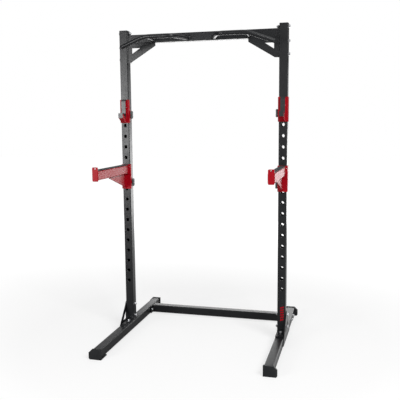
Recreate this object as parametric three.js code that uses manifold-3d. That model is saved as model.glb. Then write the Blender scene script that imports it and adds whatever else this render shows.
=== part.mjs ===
// Squat stand with a pull-up bar: two drilled uprights on floor rails, a rear floor bar, a top bar
// with two bent grips, and on each upright a bar hook and a spotter arm that hang from its holes.
// Millimetres, +Z up. X runs across the stand, -Y is the lifter's side. The origin is on the floor,
// in the middle of the rails. Each side piece is drawn once, on the right, and mirrored.

import * as THREE from 'three';
import { mergeVertices } from 'three/addons/utils/BufferGeometryUtils.js';
import Module from 'manifold-3d';

const wasm = await Module();
wasm.setup();

// ---- Driving dimensions -------------------------------------------------------------------------

const GAP = 0.3; // between two pieces that touch
const MERGE = 1; // how far welded shapes run into each other, and cutters past a face
const TUBE = 60; // square section of rails, uprights and crossbars
const WALL = 3;
const TUBE_CORNER = 5;
const UPRIGHT_SPACING = 1162; // centre to centre
const STAND_HEIGHT = 2241;
const RAIL_LENGTH = 1244;
const UPRIGHT_FRONT = 0; // front face of the uprights, from the middle of the rails

const HOLE_DIAMETER = 24;
const HOLE_PITCH = 78;
const TOP_HOLE_DROP = 527; // from the top of the stand
const LOWEST_HOLE_LIMIT = 380;

const BOOT_SOLE = 9;
const BOOT_LENGTH = 6; // in front of the rail's end
const BOOT_GRIP = 10; // over the rail's end
const BOOT_SOLE_LENGTH = 95;
const BOOT_INNER_RIM = 5;
const BOOT_TOP_RIM = 3;
const BOOT_OUTRIGGER = 25; // how far the boot stands out past the rail
const BOOT_TOP_CHAMFER = 24;
const BOOT_SOLE_CHAMFER = 8;
const CAP_THICKNESS = 4;
const CAP_PLUG = 20;
const CAP_PLUG_CORNER = 1.5;

const FOOT_PLATE = 8;
const FOOT_PLATE_FRONT = 105; // ahead of the upright
const FOOT_PLATE_REAR = 65; // behind the upright
const FOOT_BOLT_OFFSET = 24; // ahead of and behind the upright

const GUSSET_PLATE = 6;
const BASE_GUSSET_HEIGHT = 212; // above the rail's underside
const BASE_GUSSET_WING = 150; // ahead of and behind the upright
const BASE_GUSSET_TOP = 24; // flat at the top
const BASE_GUSSET_LIFT = 12; // of its lower edge above the rail's underside
const BASE_GUSSET_RIB = 30; // width of its slanted edges
const BASE_GUSSET_SILL = 8; // below its windows, above the foot plate
const BASE_GUSSET_TOE = 10;
const BASE_BOLT_HEIGHTS = [98, 188]; // above the rail's underside

const END_FLANGE = 8;
const VENT_DIAMETER = 20; // in the end flanges of the top bar
const REAR_BAR_INSET = 176; // from the rails' rear ends to the bar's centre
const REAR_FLANGE_EAR = 38;
const REAR_BAR_HOLE_SPACING = 100;
const REAR_BAR_HOLE_DIAMETER = 9;

const TOP_BAR_DROP = 34; // from the top of the stand to the top of the bar
const TOP_FLANGE_RISE = 18; // above the bar
const TOP_GUSSET_HEIGHT = 134;
const TOP_GUSSET_REACH = 205;
const TOP_GUSSET_NOSE = 23;
const TOP_GUSSET_FOOT = 20;
const TOP_GUSSET_WINDOW = [62, 40]; // width and height of the triangular window
const TOP_GUSSET_BORDER = [27, 34]; // beside and above the window
const TOP_GUSSET_SETBACK = 2; // behind the bar's front face
const TOP_BOLT_DROPS = [20, 118, 205]; // below the top of the stand

const GRIP_DIAMETER = 30;
const GRIP_WALL = 2.5;
const GRIP_ROOT = 92; // from the middle of the stand
const GRIP_ELBOW = 158; // from the middle of the stand
const GRIP_REACH = 172; // ahead of the top bar
const GRIP_SHOULDER = 189; // from the upright's inner face to the outer bend
const GRIP_TIP_INSET = 18; // from the upright's inner face to the free end
const GRIP_TIP_RETURN = 29; // how much nearer the top bar the free end is
const GRIP_TIP_DROP = 60;
const GRIP_BEND = 38;
const GRIP_DROP = 10; // of the grips' axis below the bar's
const STRUT_DIAMETER = 22;
const STRUT_SPLAY = 12;
const GRIP_CAP = 8;
const GRIP_PLUG = 12;
const GRIP_PLUG_PLAY = 0.9; // round the plug

const BOLT_DIAMETER = 12;
const BOLT_CLEARANCE = 0.5;
const BOLT_SIDES = 8;
const BOLT_HEAD = 8;
const BOLT_END = 3; // past the nut
const NUT_HEIGHT = 10;
const HEX_ACROSS_CORNERS = 21;
const WASHER_DIAMETER = 24;
const WASHER = 2.5;

const BRACKET_PLATE = 5;
const BRACKET_PLAY = 0.5; // beside the upright
const BRACKET_OUTER_CHEEK = 42; // depth of the outer cheek
const BRACKET_INNER_CHEEK = 11; // depth of the inner cheek above and below its ear
const BRACKET_EAR_DEPTH = 36;
const BRACKET_EAR_HEIGHT = 62;
const BRACKET_EAR_SLOPE = 14;
const PEG_PLAY = 1.5;
const PEG_LENGTH = 24;

const CLAMP_DIAMETER = 12;
const CLAMP_PLAY = 0.6;
const CLAMP_AXIS_Y = 20; // behind the upright's front face
const CLAMP_BOSS_DIAMETER = 22;
const CLAMP_BOSS = 2;
const CLAMP_HANDLE = [56, 26, 13]; // height, depth and thickness
const CLAMP_HANDLE_FLAT = 4; // left straight at each end of the handle
const CLAMP_HANDLE_GAP = 1; // from the boss
const CLAMP_SOCKET = 2; // screw let into the handle

const HOOK_TOP_RISE = 32; // bracket above its top peg
const HOOK_HEIGHT = 169;
const HOOK_EAR_BELOW_PEG = 78;
const CRADLE_WIDTH = 32;
const CRADLE_INSET = 2; // from the bracket's upper and lower edges
const CRADLE_SPINE = 18;
const CRADLE_SEAT_RISE = 33; // above the bracket's lower edge
const CRADLE_LIP_REACH = 61; // lip's top, ahead of the spine's front
const CRADLE_LIP_RISE = 66; // lip's top above the bracket's lower edge
const CRADLE_LIP_THICKNESS = 13;
const CRADLE_FACE_HEIGHT = 30;
const CRADLE_KEEL = 30; // length of the cradle's lower edge
const LINER = 5;

const SPOTTER_STEPS_DOWN = 6; // holes below the hook's top peg
const SPOTTER_TOP_RISE = 27; // bracket above its top peg
const SPOTTER_HEIGHT = 182;
const SPOTTER_EAR_BELOW_PEG = 108;
const ARM_WIDTH = 40;
const ARM_HEIGHT = 61;
const ARM_LENGTH = 542;
const ARM_TOP_BELOW_BRACKET = 7;
const PAD = 6;
const END_PLATE = 6;
const END_PLATE_RISE = 19; // above the pad
const END_PLATE_DROP = 8; // below the arm
const END_PLATE_CORNER = 6;
const END_PLATE_HOLE = 9;
const ARM_GUSSET_LENGTH = 320;
const ARM_GUSSET_NOSE = 8;
const ARM_GUSSET_RISE = 9; // above the bracket's lower edge

// ---- Places worked out from them ----------------------------------------------------------------

const uprightX = UPRIGHT_SPACING / 2;
const innerX = uprightX - TUBE / 2;
const outerX = uprightX + TUBE / 2;
const uprightBack = UPRIGHT_FRONT + TUBE;
const uprightMidY = UPRIGHT_FRONT + TUBE / 2;
const railBottom = BOOT_SOLE;
const railTop = railBottom + TUBE;
const railEnd = RAIL_LENGTH / 2;
const footPlateTop = railTop + GAP + FOOT_PLATE;
const uprightTop = STAND_HEIGHT - CAP_THICKNESS - GAP;
const topHole = STAND_HEIGHT - TOP_HOLE_DROP;
const holeCount = Math.floor((topHole - LOWEST_HOLE_LIMIT) / HOLE_PITCH) + 1;
const topBarTop = STAND_HEIGHT - TOP_BAR_DROP;
const topBarBottom = topBarTop - TUBE;
const topBarEnd = innerX - GAP - END_FLANGE;
const rearBarY = railEnd - REAR_BAR_INSET;
const gripZ = topBarTop - TUBE / 2 - GRIP_DROP;
const bracketInner = TUBE / 2 + BRACKET_PLAY;
const bracketOuter = bracketInner + BRACKET_PLATE;
const webFront = UPRIGHT_FRONT - GAP - BRACKET_PLATE;

// ---- Materials ----------------------------------------------------------------------------------

const finish = {
  frame: { color: 0x35383b, roughness: 0.55, metalness: 0.35 },
  red: { color: 0xb8122c, roughness: 0.35, metalness: 0.25 },
  plastic: { color: 0x1e2022, roughness: 0.6, metalness: 0 },
  greyPlastic: { color: 0x5a6263, roughness: 0.5, metalness: 0 },
  liner: { color: 0x77787c, roughness: 0.55, metalness: 0 },
  rubber: { color: 0x26282a, roughness: 0.8, metalness: 0 },
  zinc: { color: 0xc4c8cc, roughness: 0.3, metalness: 0.9 },
};

// ---- Solids -------------------------------------------------------------------------------------

const AXIS_X = new THREE.Vector3(1, 0, 0);
const AXIS_Y = new THREE.Vector3(0, 1, 0);
const AXIS_Z = new THREE.Vector3(0, 0, 1);

function toSolid(geometry) {
  const bare = geometry.clone();
  bare.deleteAttribute('normal');
  bare.deleteAttribute('uv');
  const merged = mergeVertices(bare, 1e-4);
  const vertProperties = new Float32Array(merged.attributes.position.array);
  const triVerts = new Uint32Array(merged.index.array);
  return new wasm.Manifold(new wasm.Mesh({ numProp: 3, vertProperties, triVerts }));
}

function toGeometry(solid) {
  const mesh = solid.getMesh();
  const geometry = new THREE.BufferGeometry();
  geometry.setAttribute('position', new THREE.BufferAttribute(mesh.vertProperties, 3));
  geometry.setIndex(new THREE.BufferAttribute(mesh.triVerts, 1));
  return geometry;
}

function join(...geometries) {
  return toGeometry(geometries.map(toSolid).reduce((all, next) => all.add(next)));
}

function cut(body, ...tools) {
  return toGeometry(tools.map(toSolid).reduce((all, tool) => all.subtract(tool), toSolid(body)));
}

function box([x0, x1], [y0, y1], [z0, z1]) {
  const geometry = new THREE.BoxGeometry(x1 - x0, y1 - y0, z1 - z0);
  return geometry.translate((x0 + x1) / 2, (y0 + y1) / 2, (z0 + z1) / 2);
}

// A round bar between two points, or a hexagonal one with six sides.
function rod(diameter, start, end, sides = 12) {
  const from = new THREE.Vector3(...start);
  const along = new THREE.Vector3(...end).sub(from);
  const geometry = new THREE.CylinderGeometry(diameter / 2, diameter / 2, along.length(), sides);
  const turn = new THREE.Quaternion().setFromUnitVectors(AXIS_Y, along.clone().normalize());
  return geometry.applyQuaternion(turn).translate(...from.addScaledVector(along, 0.5).toArray());
}

function extrude(shape, depth, curveSegments = 2) {
  return new THREE.ExtrudeGeometry(shape, { depth, bevelEnabled: false, curveSegments });
}

// An outline of (y, z) points made into a plate from x0 to x1.
function plateX(shape, [x0, x1]) {
  const place = new THREE.Matrix4().makeBasis(AXIS_Y, AXIS_Z, AXIS_X);
  return extrude(shape, x1 - x0).applyMatrix4(place).translate(x0, 0, 0);
}

// An outline of (x, z) points made into a plate from y0 to y1.
function plateY(shape, [y0, y1]) {
  const place = new THREE.Matrix4().makeBasis(AXIS_X, AXIS_Z, AXIS_Y.clone().negate());
  return extrude(shape, y1 - y0).applyMatrix4(place).translate(0, y1, 0);
}

function outline(points) {
  return new THREE.Shape(points.map(([a, b]) => new THREE.Vector2(a, b)));
}

function roundedRect(width, height, corner, path = new THREE.Shape()) {
  const a = width / 2;
  const b = height / 2;
  path.moveTo(-a + corner, -b);
  path.lineTo(a - corner, -b);
  path.absarc(a - corner, -b + corner, corner, -Math.PI / 2, 0, false);
  path.lineTo(a, b - corner);
  path.absarc(a - corner, b - corner, corner, 0, Math.PI / 2, false);
  path.lineTo(-a + corner, b);
  path.absarc(-a + corner, b - corner, corner, Math.PI / 2, Math.PI, false);
  path.lineTo(-a, -b + corner);
  path.absarc(-a + corner, -b + corner, corner, Math.PI, 1.5 * Math.PI, false);
  return path;
}

// A rectangular tube along Z from 0, centred on the axis.
function hollowSection(width, height, wall, corner, length) {
  const shape = roundedRect(width, height, corner);
  const bore = roundedRect(width - 2 * wall, height - 2 * wall, corner - wall, new THREE.Path());
  shape.holes.push(bore);
  return extrude(shape, length, 1);
}

function squareTube(length) {
  return hollowSection(TUBE, TUBE, WALL, TUBE_CORNER, length);
}

function mirrored(geometry) {
  const flipped = mergeVertices(geometry.clone().deleteAttribute('uv').deleteAttribute('normal'), 1e-4);
  flipped.scale(-1, 1, 1);
  const corners = flipped.index.array;
  for (let i = 0; i < corners.length; i += 3) {
    [corners[i], corners[i + 1]] = [corners[i + 1], corners[i]];
  }
  return flipped;
}

// ---- Assembly -----------------------------------------------------------------------------------

const stand = new THREE.Group();

function add(name, geometry, look) {
  const mesh = new THREE.Mesh(geometry, new THREE.MeshStandardMaterial(finish[look]));
  mesh.name = name;
  stand.add(mesh);
}

function addPair(name, geometry, look) {
  add(`right_${name}`, geometry, look);
  add(`left_${name}`, mirrored(geometry), look);
}

// ---- Fasteners ----------------------------------------------------------------------------------

// A bolt with its washers and nut. The head seats on the face at start, and the nut on the face at end.
function bolt(start, end, headWasher = true) {
  const from = new THREE.Vector3(...start);
  const to = new THREE.Vector3(...end);
  const along = to.clone().sub(from).normalize();
  const at = (point, distance) => point.clone().addScaledVector(along, distance).toArray();
  const headSeat = GAP + (headWasher ? WASHER : 0);
  const pieces = [
    rod(BOLT_DIAMETER, at(from, -headSeat - MERGE), at(to, GAP + NUT_HEIGHT + BOLT_END), BOLT_SIDES),
    rod(HEX_ACROSS_CORNERS, at(from, -headSeat - BOLT_HEAD), at(from, -headSeat), 6),
    rod(HEX_ACROSS_CORNERS, at(to, GAP), at(to, GAP + NUT_HEIGHT), 6),
  ];
  if (headWasher) {
    pieces.push(rod(WASHER_DIAMETER, at(from, -headSeat), at(from, -GAP)));
  }
  return join(...pieces);
}

function boltHole(start, end) {
  return rod(BOLT_DIAMETER + 2 * BOLT_CLEARANCE, start, end, BOLT_SIDES);
}

const acrossUpright = (y, z, outer, inner) => [[outer, y, z], [inner, y, z]];
const topBoltHeights = TOP_BOLT_DROPS.map((drop) => STAND_HEIGHT - drop);
const baseBoltHeights = BASE_BOLT_HEIGHTS.map((height) => railBottom + height);
const footBoltYs = [UPRIGHT_FRONT - FOOT_BOLT_OFFSET, uprightBack + FOOT_BOLT_OFFSET];
const rearBoltYs = [-1, 1].map((end) => rearBarY + end * (TUBE + REAR_FLANGE_EAR) / 2);
const rearBoltZ = railBottom + TUBE / 2;

function topBolts() {
  const names = ['upper', 'middle', 'lower'];
  topBoltHeights.forEach((z, i) => {
    const ends = acrossUpright(uprightMidY, z, outerX, topBarEnd);
    addPair(`top_bolt_${names[i]}`, bolt(...ends), 'zinc');
  });
}

function baseBolts() {
  const names = ['lower', 'upper'];
  baseBoltHeights.forEach((z, i) => {
    const ends = acrossUpright(uprightMidY, z, outerX + GAP + GUSSET_PLATE, innerX);
    addPair(`base_bolt_${names[i]}`, bolt(...ends), 'zinc');
  });
}

function footBolts() {
  const names = ['front', 'rear'];
  footBoltYs.forEach((y, i) => {
    const ends = [[uprightX, y, footPlateTop], [uprightX, y, railTop - WALL]];
    addPair(`foot_bolt_${names[i]}`, bolt(...ends), 'zinc');
  });
}

function rearBolts() {
  const names = ['front', 'rear'];
  rearBoltYs.forEach((y, i) => {
    const ends = [[innerX - GAP - END_FLANGE, y, rearBoltZ], [outerX, y, rearBoltZ]];
    addPair(`rear_bolt_${names[i]}`, bolt(...ends), 'zinc');
  });
}

// ---- Rails and their boots ----------------------------------------------------------------------

function sideRail() {
  const place = new THREE.Matrix4().makeBasis(AXIS_X, AXIS_Z.clone().negate(), AXIS_Y);
  const rail = squareTube(RAIL_LENGTH).applyMatrix4(place);
  rail.translate(uprightX, -railEnd, railBottom + TUBE / 2);
  const holes = footBoltYs.map((y) => (
    boltHole([uprightX, y, railTop + MERGE], [uprightX, y, railTop - WALL - MERGE])));
  rearBoltYs.forEach((y) => holes.push(
    boltHole([innerX - MERGE, y, rearBoltZ], [outerX + MERGE, y, rearBoltZ])));
  return cut(rail, ...holes);
}

// The moulded boot over a rail's end: a cup with an outrigger and a sole that runs back below the rail.
function railBoot(end) {
  const inner = innerX - BOOT_INNER_RIM;
  const outer = outerX + BOOT_OUTRIGGER;
  const top = railTop + BOOT_TOP_RIM;
  const face = outline([
    [inner, 0],
    [outer - BOOT_SOLE_CHAMFER, 0],
    [outer, BOOT_SOLE_CHAMFER],
    [outer, top - BOOT_TOP_CHAMFER],
    [outer - BOOT_TOP_CHAMFER, top],
    [inner, top],
  ]);
  const span = (a, b) => (end < 0 ? [-b, -a] : [a, b]);
  const tip = railEnd + BOOT_LENGTH;
  const cup = plateY(face, span(railEnd - BOOT_GRIP, tip));
  const sole = box([inner, outerX], span(tip - BOOT_SOLE_LENGTH, railEnd), [0, BOOT_SOLE - GAP]);
  const socket = box(
    [innerX - GAP, outerX + GAP], span(railEnd - BOOT_GRIP - MERGE, railEnd + GAP),
    [BOOT_SOLE - GAP, railTop + GAP]);
  return cut(join(cup, sole), socket);
}

// ---- Uprights -----------------------------------------------------------------------------------

function upright() {
  const post = squareTube(uprightTop - footPlateTop + MERGE);
  post.translate(uprightX, uprightMidY, footPlateTop - MERGE);
  const plate = box(
    [innerX, outerX], [UPRIGHT_FRONT - FOOT_PLATE_FRONT, uprightBack + FOOT_PLATE_REAR],
    [railTop + GAP, footPlateTop]);
  const tools = [];
  for (let i = 0; i < holeCount; i += 1) {
    const z = topHole - i * HOLE_PITCH;
    tools.push(rod(
      HOLE_DIAMETER, [uprightX, UPRIGHT_FRONT - MERGE, z], [uprightX, uprightBack + MERGE, z]));
  }
  [...topBoltHeights, ...baseBoltHeights].forEach((z) => (
    tools.push(boltHole(...acrossUpright(uprightMidY, z, outerX + MERGE, innerX - MERGE)))));
  footBoltYs.forEach((y) => (
    tools.push(boltHole([uprightX, y, footPlateTop + MERGE], [uprightX, y, railTop]))));
  return cut(join(post, plate), ...tools);
}

function uprightCap() {
  const plugSide = TUBE - 2 * WALL - 2 * GAP;
  const plug = extrude(roundedRect(plugSide, plugSide, CAP_PLUG_CORNER), CAP_PLUG + MERGE, 1);
  const lid = extrude(roundedRect(TUBE, TUBE, TUBE_CORNER), CAP_THICKNESS, 1);
  plug.translate(uprightX, uprightMidY, uprightTop - CAP_PLUG);
  lid.translate(uprightX, uprightMidY, STAND_HEIGHT - CAP_THICKNESS);
  const hollow = box(
    [uprightX - plugSide / 2 + WALL, uprightX + plugSide / 2 - WALL],
    [uprightMidY - plugSide / 2 + WALL, uprightMidY + plugSide / 2 - WALL],
    [uprightTop - CAP_PLUG - MERGE, uprightTop - WALL]);
  const boltRoom = boltHole(...acrossUpright(uprightMidY, topBoltHeights[0], outerX, innerX));
  return cut(join(plug, lid), hollow, boltRoom);
}

// The plate that ties an upright to its rail: a wing ahead and a wing behind, each with a window.
function baseGusset() {
  const low = railBottom + BASE_GUSSET_LIFT;
  const high = railBottom + BASE_GUSSET_HEIGHT;
  const tip = TUBE / 2 + BASE_GUSSET_WING;
  const crown = BASE_GUSSET_TOP / 2;
  const shape = outline([
    [uprightMidY - tip, low],
    [uprightMidY + tip, low],
    [uprightMidY + tip, low + BASE_GUSSET_TOE],
    [uprightMidY + crown, high],
    [uprightMidY - crown, high],
    [uprightMidY - tip, low + BASE_GUSSET_TOE],
  ]);
  const slope = (tip - crown) / (high - low - BASE_GUSSET_TOE);
  const rib = BASE_GUSSET_RIB * Math.hypot(1, slope);
  const sill = footPlateTop + BASE_GUSSET_SILL;
  const windowFoot = crown + slope * (high - sill) - rib;
  const windowTop = high - (TUBE / 2 - crown + rib) / slope;
  const span = [outerX + GAP, outerX + GAP + GUSSET_PLATE];
  const windows = [-1, 1].map((end) => plateX(outline([
    [uprightMidY + end * TUBE / 2, sill],
    [uprightMidY + end * windowFoot, sill],
    [uprightMidY + end * TUBE / 2, windowTop],
  ]), [span[0] - MERGE, span[1] + MERGE]));
  const holes = baseBoltHeights.map((z) => (
    boltHole(...acrossUpright(uprightMidY, z, span[1] + MERGE, outerX))));
  return cut(plateX(shape, span), ...windows, ...holes);
}

// ---- Crossbars ----------------------------------------------------------------------------------

function crossTube(halfLength, midY, midZ) {
  const place = new THREE.Matrix4().makeBasis(AXIS_Y, AXIS_Z, AXIS_X);
  return squareTube(2 * halfLength).applyMatrix4(place).translate(-halfLength, midY, midZ);
}

// The floor bar with a bolting flange welded to each end.
function rearCrossbar() {
  const inner = innerX - GAP - END_FLANGE;
  const tube = crossTube(inner + MERGE, rearBarY, railBottom + TUBE / 2);
  const reach = TUBE / 2 + REAR_FLANGE_EAR;
  const flanges = [-1, 1].map((side) => {
    const ends = [side * inner, side * (inner + END_FLANGE)].sort((a, b) => a - b);
    return box(ends, [rearBarY - reach, rearBarY + reach], [railBottom, railTop]);
  });
  const holes = [];
  rearBoltYs.forEach((y) => [-1, 1].forEach((side) => holes.push(
    boltHole([side * (inner - MERGE), y, rearBoltZ], [side * innerX, y, rearBoltZ]))));
  [-1, 1].forEach((side) => {
    const x = side * REAR_BAR_HOLE_SPACING / 2;
    const start = [x, rearBarY - TUBE / 2 - MERGE, rearBoltZ];
    holes.push(rod(REAR_BAR_HOLE_DIAMETER, start, [x, rearBarY, rearBoltZ], 10));
  });
  return cut(join(tube, ...flanges), ...holes);
}

// The top bar with a tall flange welded to each end.
function topCrossbar() {
  const tube = crossTube(topBarEnd + MERGE, uprightMidY, topBarTop - TUBE / 2);
  const flanges = [-1, 1].map((side) => {
    const ends = [side * topBarEnd, side * (topBarEnd + END_FLANGE)].sort((a, b) => a - b);
    return box(
      ends, [UPRIGHT_FRONT, uprightBack], [topBarBottom - TOP_GUSSET_HEIGHT, topBarTop + TOP_FLANGE_RISE]);
  });
  const holes = topBoltHeights.flatMap((z) => [-1, 1].map((side) => (
    boltHole([side * (topBarEnd - MERGE), uprightMidY, z], [side * innerX, uprightMidY, z]))));
  const axisZ = topBarTop - TUBE / 2;
  [-1, 1].forEach((side) => {
    const start = [side * (topBarEnd - 2 * MERGE), uprightMidY, axisZ];
    holes.push(rod(VENT_DIAMETER, start, [side * innerX, uprightMidY, axisZ]));
  });
  return cut(join(tube, ...flanges), ...holes);
}

function topGusset() {
  const high = topBarBottom - GAP;
  const low = topBarBottom - TOP_GUSSET_HEIGHT;
  const back = topBarEnd - GAP;
  const nose = back - TOP_GUSSET_REACH;
  const shape = outline([
    [nose, high],
    [nose, high - TOP_GUSSET_NOSE],
    [back - TOP_GUSSET_FOOT, low],
    [back, low],
    [back, high],
  ]);
  const corner = [back - TOP_GUSSET_BORDER[0], high - TOP_GUSSET_BORDER[1]];
  const front = UPRIGHT_FRONT + TOP_GUSSET_SETBACK;
  const window = plateY(outline([
    corner,
    [corner[0] - TOP_GUSSET_WINDOW[0], corner[1]],
    [corner[0], corner[1] - TOP_GUSSET_WINDOW[1]],
  ]), [front - MERGE, front + GUSSET_PLATE + MERGE]);
  return cut(plateY(shape, [front, front + GUSSET_PLATE]), window);
}

// ---- Pull-up grips ------------------------------------------------------------------------------

// Straight stretches through the given corners, with a round bend at each inner corner.
function bentPath(corners, bend) {
  const path = new THREE.CurvePath();
  let start = corners[0];
  for (let i = 1; i < corners.length - 1; i += 1) {
    const corner = corners[i];
    const into = corner.clone().addScaledVector(corners[i - 1].clone().sub(corner).normalize(), bend);
    const out = corner.clone().addScaledVector(corners[i + 1].clone().sub(corner).normalize(), bend);
    path.add(new THREE.LineCurve3(start, into));
    path.add(new THREE.QuadraticBezierCurve3(into, corner, out));
    start = out;
  }
  path.add(new THREE.LineCurve3(start, corners[corners.length - 1]));
  return path;
}

const gripFront = UPRIGHT_FRONT - GRIP_REACH;
const gripCorners = [
  new THREE.Vector3(GRIP_ROOT, UPRIGHT_FRONT + GRIP_DIAMETER / 2, gripZ),
  new THREE.Vector3(GRIP_ELBOW, gripFront, gripZ),
  new THREE.Vector3(innerX - GRIP_SHOULDER, gripFront, gripZ),
  new THREE.Vector3(innerX - GRIP_TIP_INSET, gripFront + GRIP_TIP_RETURN, gripZ - GRIP_TIP_DROP),
];

function ring(diameter, wall) {
  const shape = new THREE.Shape();
  shape.absarc(0, 0, diameter / 2, 0, 2 * Math.PI, false);
  if (wall > 0) {
    const bore = new THREE.Path();
    bore.absarc(0, 0, diameter / 2 - wall, 0, 2 * Math.PI, true);
    shape.holes.push(bore);
  }
  return shape;
}

function alongGrip(diameter, wall) {
  const extrudePath = bentPath(gripCorners, GRIP_BEND);
  return new THREE.ExtrudeGeometry(
    ring(diameter, wall), { steps: 30, curveSegments: 5, bevelEnabled: false, extrudePath });
}

// What is welded to the top bar runs into it here, and is cut flat along its front face.
function topBarRoom() {
  return box([0, innerX], [UPRIGHT_FRONT - GAP, uprightBack], [topBarBottom, topBarTop]);
}

function grip() {
  return cut(alongGrip(GRIP_DIAMETER, GRIP_WALL), topBarRoom());
}

function gripStrut() {
  const bend = bentPath(gripCorners, GRIP_BEND).curves[3].getPoint(0.5);
  const splay = STRUT_SPLAY / (UPRIGHT_FRONT - bend.y);
  const root = [bend.x - STRUT_SPLAY - splay * STRUT_DIAMETER, UPRIGHT_FRONT + STRUT_DIAMETER, bend.z];
  const strut = rod(STRUT_DIAMETER, root, bend.toArray());
  return cut(strut, topBarRoom(), alongGrip(GRIP_DIAMETER + 2 * GAP, 0));
}

function gripCap() {
  const tip = gripCorners[3];
  const along = tip.clone().sub(gripCorners[2]).normalize();
  const at = (distance) => tip.clone().addScaledVector(along, distance).toArray();
  const lid = rod(GRIP_DIAMETER, at(GAP), at(GRIP_CAP));
  const plug = rod(GRIP_DIAMETER - 2 * (GRIP_WALL + GRIP_PLUG_PLAY), at(-GRIP_PLUG), at(GAP + MERGE));
  return join(lid, plug);
}

// ---- Hanging brackets ---------------------------------------------------------------------------

// A folded plate round the upright, with two pegs for its holes, and an ear with a threaded boss on
// the inner cheek for the clamp screw.
function bracket(pegZ, top, height, earZ) {
  const bottom = top - height;
  const web = box(
    [uprightX - bracketOuter, uprightX + bracketOuter], [webFront, webFront + BRACKET_PLATE], [bottom, top]);
  const outerCheek = box(
    [uprightX + bracketInner, uprightX + bracketOuter], [webFront, UPRIGHT_FRONT + BRACKET_OUTER_CHEEK],
    [bottom, top]);
  const near = UPRIGHT_FRONT + BRACKET_INNER_CHEEK;
  const far = UPRIGHT_FRONT + BRACKET_EAR_DEPTH;
  const half = BRACKET_EAR_HEIGHT / 2;
  const innerShape = outline([
    [webFront, bottom],
    [near, bottom],
    [near, earZ - half - BRACKET_EAR_SLOPE / 2],
    [far, earZ - half + BRACKET_EAR_SLOPE / 2],
    [far, earZ + half - BRACKET_EAR_SLOPE / 2],
    [near, earZ + half + BRACKET_EAR_SLOPE / 2],
    [near, top],
    [webFront, top],
  ]);
  const innerCheek = plateX(innerShape, [uprightX - bracketOuter, uprightX - bracketInner]);
  const clampY = UPRIGHT_FRONT + CLAMP_AXIS_Y;
  const bossEnd = uprightX - bracketOuter - CLAMP_BOSS;
  const boss = rod(
    CLAMP_BOSS_DIAMETER, [bossEnd, clampY, earZ], [uprightX - bracketOuter + MERGE, clampY, earZ]);
  const pegs = [pegZ, pegZ - HOLE_PITCH].map((z) => {
    const start = [uprightX, webFront + MERGE, z];
    return rod(HOLE_DIAMETER - 2 * PEG_PLAY, start, [uprightX, UPRIGHT_FRONT + PEG_LENGTH, z]);
  });
  const bore = rod(
    CLAMP_DIAMETER + 2 * CLAMP_PLAY,
    [bossEnd - MERGE, clampY, earZ], [uprightX - bracketInner + MERGE, clampY, earZ]);
  return cut(join(web, outerCheek, innerCheek, boss, ...pegs), bore);
}

// A screw with a long flat handle; its end bears on the side of the upright.
function clampScrew(earZ) {
  const y = UPRIGHT_FRONT + CLAMP_AXIS_Y;
  const [height, depth, thickness] = CLAMP_HANDLE;
  const handleFrom = uprightX - bracketOuter - CLAMP_BOSS - CLAMP_HANDLE_GAP;
  const screw = rod(CLAMP_DIAMETER, [innerX - GAP, y, earZ], [handleFrom - CLAMP_SOCKET, y, earZ]);
  const face = roundedRect(depth, height, (depth - CLAMP_HANDLE_FLAT) / 2);
  const grasp = plateX(face, [handleFrom - thickness, handleFrom]);
  return join(screw, grasp.translate(0, y, earZ));
}

// ---- Bar hooks ----------------------------------------------------------------------------------

const hookTop = topHole + HOOK_TOP_RISE;
const hookBottom = hookTop - HOOK_HEIGHT;
const hookEarZ = topHole - HOOK_EAR_BELOW_PEG;
const spineFront = webFront - GAP - CRADLE_SPINE;
const seatZ = hookBottom + CRADLE_SEAT_RISE;
const lipZ = hookBottom + CRADLE_LIP_RISE;
const lipInner = spineFront - CRADLE_LIP_REACH + CRADLE_LIP_THICKNESS;
const lipOuter = spineFront - CRADLE_LIP_REACH;
const cradleSpan = [uprightX - CRADLE_WIDTH / 2, uprightX + CRADLE_WIDTH / 2];

// The hook proper: a spine down the bracket and a lip that leans forward from its foot.
function cradle() {
  const back = webFront - GAP;
  return plateX(outline([
    [back, hookBottom + CRADLE_INSET],
    [back, hookTop - CRADLE_INSET],
    [spineFront, hookTop - CRADLE_INSET],
    [spineFront, seatZ],
    [lipInner, lipZ],
    [lipOuter, lipZ],
    [lipOuter, lipZ - CRADLE_FACE_HEIGHT],
    [back - CRADLE_KEEL, hookBottom + CRADLE_INSET],
  ]), cradleSpan);
}

// One plastic strip: down the spine, through the seat, up the lip, over it and down its face.
function cradleLiner() {
  const lean = new THREE.Vector2(lipInner - spineFront, lipZ - seatZ).normalize();
  const rise = lean.clone().rotateAround(new THREE.Vector2(), -Math.PI / 2);
  const off = (y, z, distance) => [y + rise.x * distance, z + rise.y * distance];
  const front = spineFront - GAP;
  const seatAt = (y, distance) => {
    const [baseY, baseZ] = off(spineFront, seatZ, distance);
    return [y, baseZ + (y - baseY) * lean.y / lean.x];
  };
  const [lipTopY] = off(lipInner, lipZ, GAP + LINER);
  return plateX(outline([
    [front, hookTop],
    [front, seatAt(front, GAP)[1]],
    seatAt(lipInner, GAP),
    [lipInner, lipZ + GAP],
    [lipOuter - GAP, lipZ + GAP],
    [lipOuter - GAP, lipZ - CRADLE_FACE_HEIGHT],
    [lipOuter - GAP - LINER, lipZ - CRADLE_FACE_HEIGHT],
    [lipOuter - GAP - LINER, lipZ + GAP + LINER],
    [lipTopY, lipZ + GAP + LINER],
    seatAt(front - LINER, GAP + LINER),
    [front - LINER, hookTop],
  ]), cradleSpan);
}

function barHooks() {
  addPair('hook_bracket', bracket(topHole, hookTop, HOOK_HEIGHT, hookEarZ), 'red');
  addPair('hook_cradle', cradle(), 'red');
  addPair('hook_liner', cradleLiner(), 'liner');
  addPair('hook_clamp_screw', clampScrew(hookEarZ), 'greyPlastic');
}

// ---- Spotter arms -------------------------------------------------------------------------------

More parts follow.
